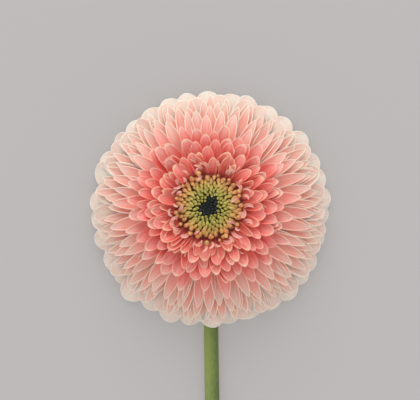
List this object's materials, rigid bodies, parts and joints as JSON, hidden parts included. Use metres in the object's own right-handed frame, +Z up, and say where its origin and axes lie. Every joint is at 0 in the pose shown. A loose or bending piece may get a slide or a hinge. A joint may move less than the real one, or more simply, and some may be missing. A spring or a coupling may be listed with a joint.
{
  "type": "cut gerbera",
  "caption": "Cut full-double gerbera lying on a table with its face up: a domed head of overlapping ray florets round a green disc, on a long leafless stem.",
  "frame": {"origin": "middle of the lying flower's footprint, on the table", "axes": "+Y from the cut end of the stem towards the head, +Z up out of the flower's face, +X to the right of the stem"},
  "size_m": [0.0904, 0.3904, 0.0349],
  "materials": {
    "stem_skin": "satin",
    "receptacle_flesh": "satin",
    "bract_green": "matte",
    "guard_ray": "satin",
    "outer_ray": "satin",
    "inner_ray": "satin",
    "open_disc_floret": "satin",
    "disc_bud": "satin",
    "disc_heart": "matte"
  },
  "bodies": {
    "root": {"flower_stem": "stem_skin", "receptacle": "receptacle_flesh", "inner_bracts": "bract_green", "outer_bracts": "bract_green", "ray_floret_01": "guard_ray", "ray_floret_02": "guard_ray", "ray_floret_03": "guard_ray", "ray_floret_04": "guard_ray", "ray_floret_05": "guard_ray", "ray_floret_06": "guard_ray", "ray_floret_07": "guard_ray", "ray_floret_08": "guard_ray", "ray_floret_09": "guard_ray", "ray_floret_10": "guard_ray", "ray_floret_11": "guard_ray", "ray_floret_12": "guard_ray", "ray_floret_13": "guard_ray", "ray_floret_14": "guard_ray", "ray_floret_15": "guard_ray", "ray_floret_16": "guard_ray", "ray_floret_17": "guard_ray", "ray_floret_18": "guard_ray", "ray_floret_19": "guard_ray", "ray_floret_20": "guard_ray", "ray_floret_21": "guard_ray", "ray_floret_22": "guard_ray", "ray_floret_23": "guard_ray", "ray_floret_24": "guard_ray", "ray_floret_25": "guard_ray", "ray_floret_26": "guard_ray", "ray_floret_27": "guard_ray", "ray_floret_28": "guard_ray", "ray_floret_29": "guard_ray", "ray_floret_30": "guard_ray", "ray_floret_31": "guard_ray", "ray_floret_32": "guard_ray", "ray_floret_33": "guard_ray", "ray_floret_34": "guard_ray", "ray_whorl_1": "outer_ray", "ray_whorl_2": "outer_ray", "ray_whorl_3": "outer_ray", "ray_whorl_4": "outer_ray", "ray_whorl_5": "inner_ray", "ray_whorl_6": "inner_ray", "ray_whorl_7": "inner_ray", "ray_whorl_8": "inner_ray", "ray_whorl_9": "inner_ray", "outer_disc_florets": "open_disc_floret", "inner_disc_florets": "disc_bud", "disc_centre_buds": "disc_heart"}
  },
  "joints": []
}
